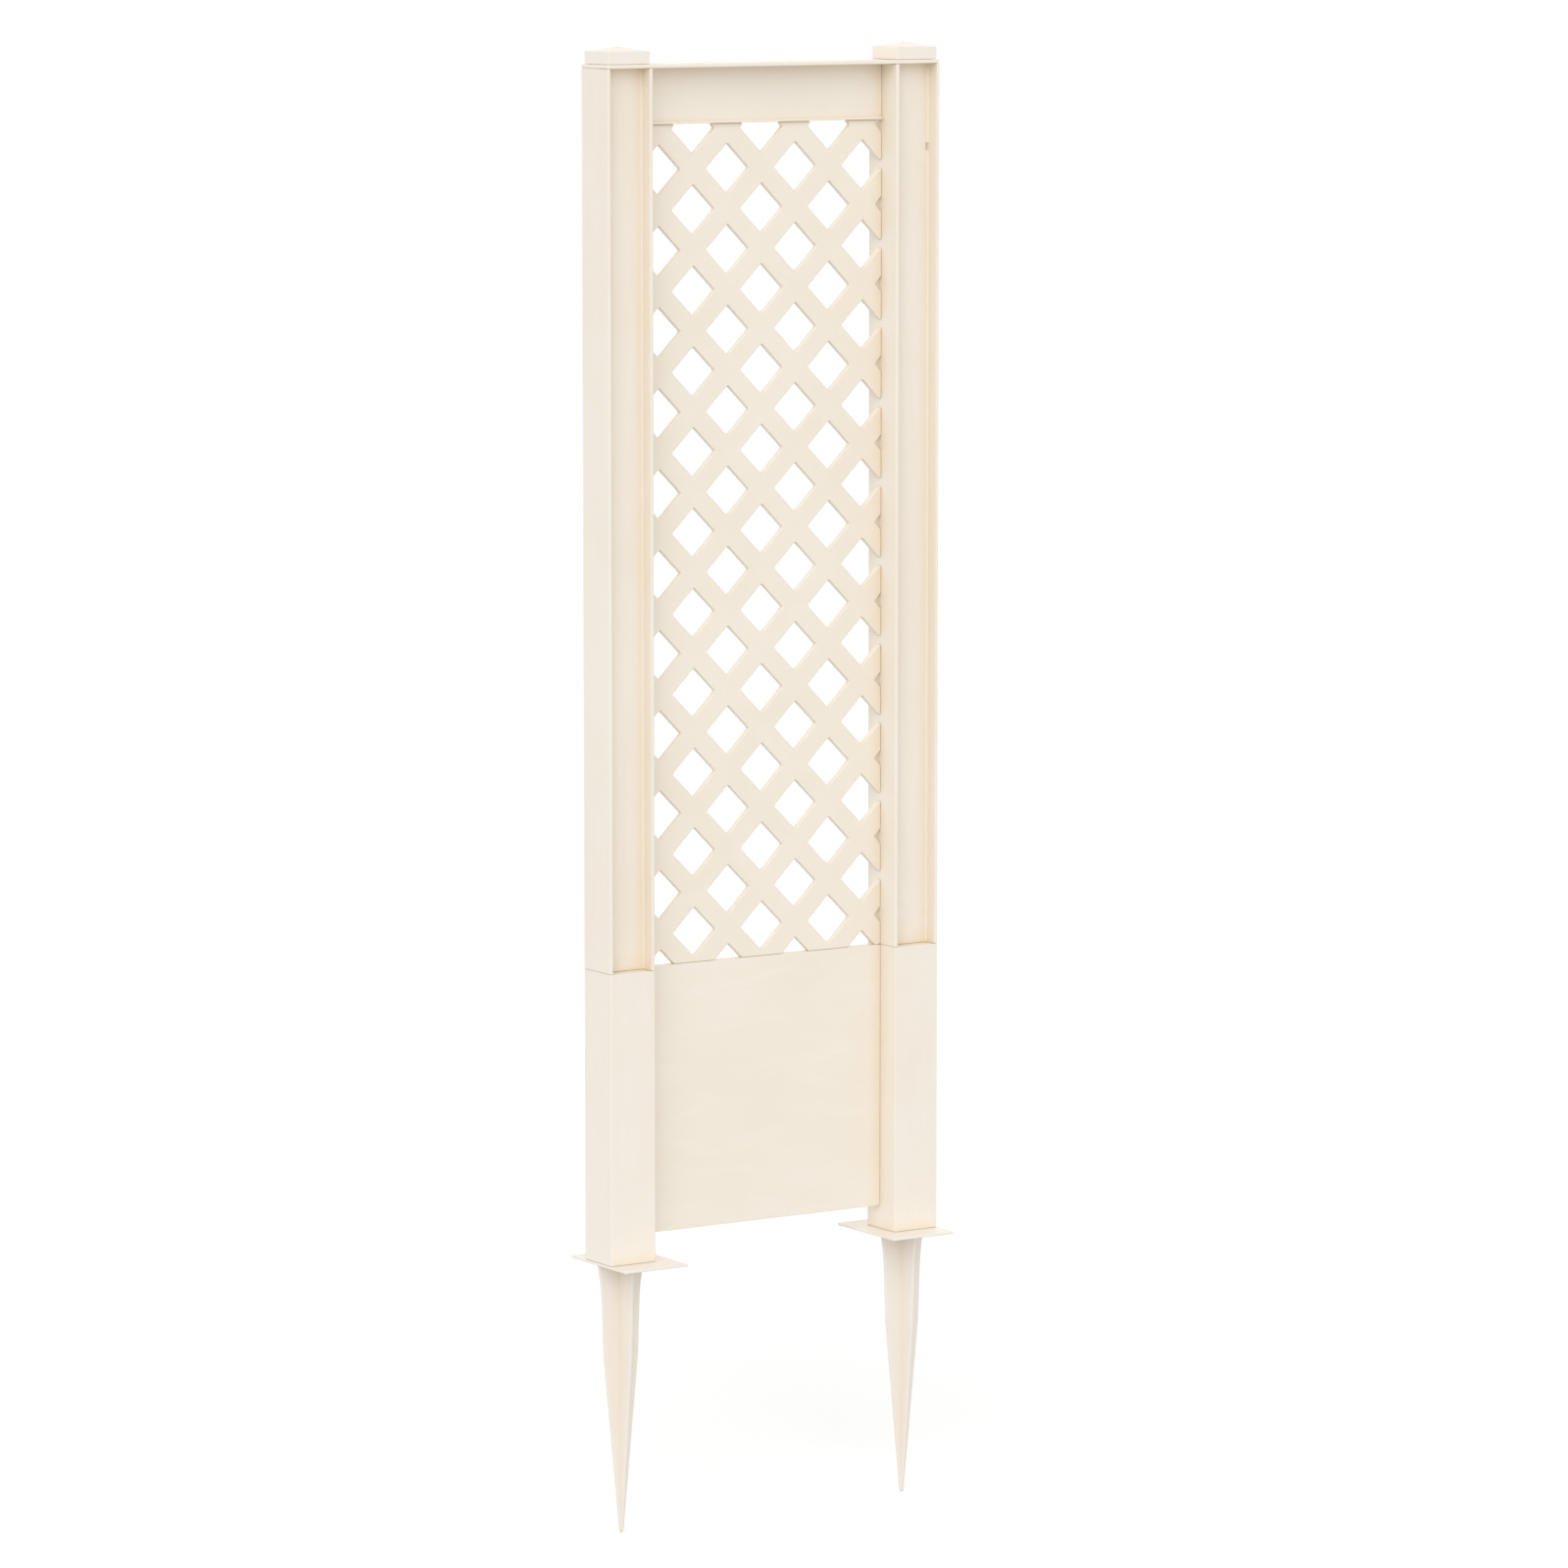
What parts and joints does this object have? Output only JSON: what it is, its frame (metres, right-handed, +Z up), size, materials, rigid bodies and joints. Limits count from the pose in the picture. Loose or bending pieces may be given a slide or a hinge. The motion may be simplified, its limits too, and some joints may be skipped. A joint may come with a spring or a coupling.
{
  "type": "garden trellis",
  "caption": "Upright garden trellis panel: square posts, diagonal lattice infill, solid lower board, pyramid post caps, and ground spikes with soil plates.",
  "frame": {"origin": "on the soil line (the undersides of the foot plates), midway between the posts and at the middle of their depth", "axes": "+Z up along the posts, +X to the right across the width, front face towards -Y"},
  "size_m": [0.461, 0.122, 1.739],
  "materials": {
    "cream_resin": "satin moulded polypropylene, cream, faint fine grain"
  },
  "bodies": {
    "root": {"ground_spike_left": "cream_resin", "ground_spike_right": "cream_resin", "lower_board": "cream_resin", "lower_post_left": "cream_resin", "lower_post_right": "cream_resin", "post_cap_left": "cream_resin", "post_cap_right": "cream_resin", "slat_a01": "cream_resin", "slat_a02": "cream_resin", "slat_a03": "cream_resin", "slat_a04": "cream_resin", "slat_a05": "cream_resin", "slat_a06": "cream_resin", "slat_a07": "cream_resin", "slat_a08": "cream_resin", "slat_a09": "cream_resin", "slat_a10": "cream_resin", "slat_a11": "cream_resin", "slat_a12": "cream_resin", "slat_a13": "cream_resin", "slat_a14": "cream_resin", "slat_b01": "cream_resin", "slat_b02": "cream_resin", "slat_b03": "cream_resin", "slat_b04": "cream_resin", "slat_b05": "cream_resin", "slat_b06": "cream_resin", "slat_b07": "cream_resin", "slat_b08": "cream_resin", "slat_b09": "cream_resin", "slat_b10": "cream_resin", "slat_b11": "cream_resin", "slat_b12": "cream_resin", "slat_b13": "cream_resin", "slat_b14": "cream_resin", "top_rail": "cream_resin", "upper_post_left": "cream_resin", "upper_post_right": "cream_resin"}
  },
  "joints": []
}
